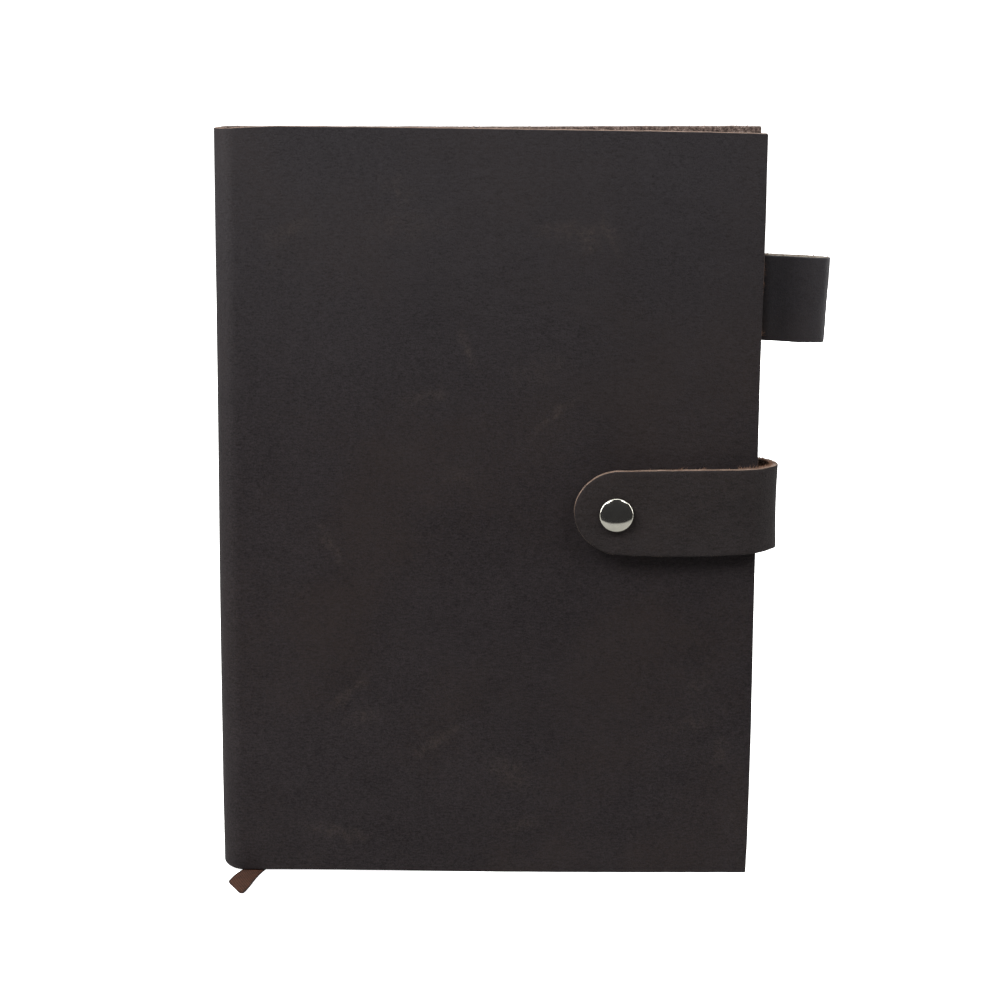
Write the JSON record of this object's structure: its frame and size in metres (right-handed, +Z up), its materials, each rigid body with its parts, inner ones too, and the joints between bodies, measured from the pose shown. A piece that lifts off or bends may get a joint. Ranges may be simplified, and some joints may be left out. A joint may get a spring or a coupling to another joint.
{
  "type": "leather notebook cover",
  "caption": "Dark waxed leather cover round an A5 notebook, standing closed, with a snap strap, a folded leather pen loop and a brown ribbon bookmark.",
  "frame": {"origin": "middle of the closed book's bounding box at the surface that it stands on, without the ribbon", "axes": "+Z up the pages, -Y out of the front cover, spine at -X, fore-edge, strap and pen loop at +X"},
  "size_m": [0.1754, 0.0372, 0.22],
  "materials": {
    "leather": "waxed, softly mottled, with raw brown edges",
    "lining": "rough suede side",
    "metal": "polished nickel",
    "paper": "matt",
    "board": "matt",
    "ribbon": "twill weave"
  },
  "bodies": {
    "back_cover": {"back_panel": "leather", "back_sleeve": "lining", "strap_base": "leather", "pen_loop": "leather", "page_block": "paper", "notebook_back_cover": "board", "ribbon_bookmark": "ribbon"},
    "spine": {"spine_panel": "leather", "notebook_spine": "board"},
    "front_cover": {"front_panel": "leather", "front_sleeve": "lining", "notebook_front_cover": "board", "snap_stud": "metal", "snap_post": "metal"},
    "strap_bend": {"strap_wrap": "leather"},
    "strap_end": {"strap_tail": "leather", "snap_cap": "metal", "snap_socket": "metal"}
  },
  "joints": [
    {"name": "spine_back_fold", "type": "hinge", "parent": "back_cover", "child": "spine", "pos_m": [-0.08571, 0.00961, 0.11], "axis": [0, 0, -1], "range_deg": [0, 90]},
    {"name": "spine_front_fold", "type": "hinge", "parent": "spine", "child": "front_cover", "pos_m": [-0.08571, -0.00261, 0.11], "axis": [0, 0, -1], "range_deg": [0, 90]},
    {"name": "strap_back_fold", "type": "hinge", "parent": "back_cover", "child": "strap_bend", "pos_m": [0.07225, 0.0066, 0.111], "axis": [0, 0, 1], "range_deg": [0, 90]},
    {"name": "strap_front_fold", "type": "hinge", "parent": "strap_bend", "child": "strap_end", "pos_m": [0.07225, -0.0064, 0.111], "axis": [0, 0, 1], "range_deg": [0, 90]}
  ],
  "couplings": [
    {"joint": "spine_front_fold", "follows": "spine_back_fold", "ratio": 1},
    {"joint": "strap_front_fold", "follows": "strap_back_fold", "ratio": 1}
  ]
}
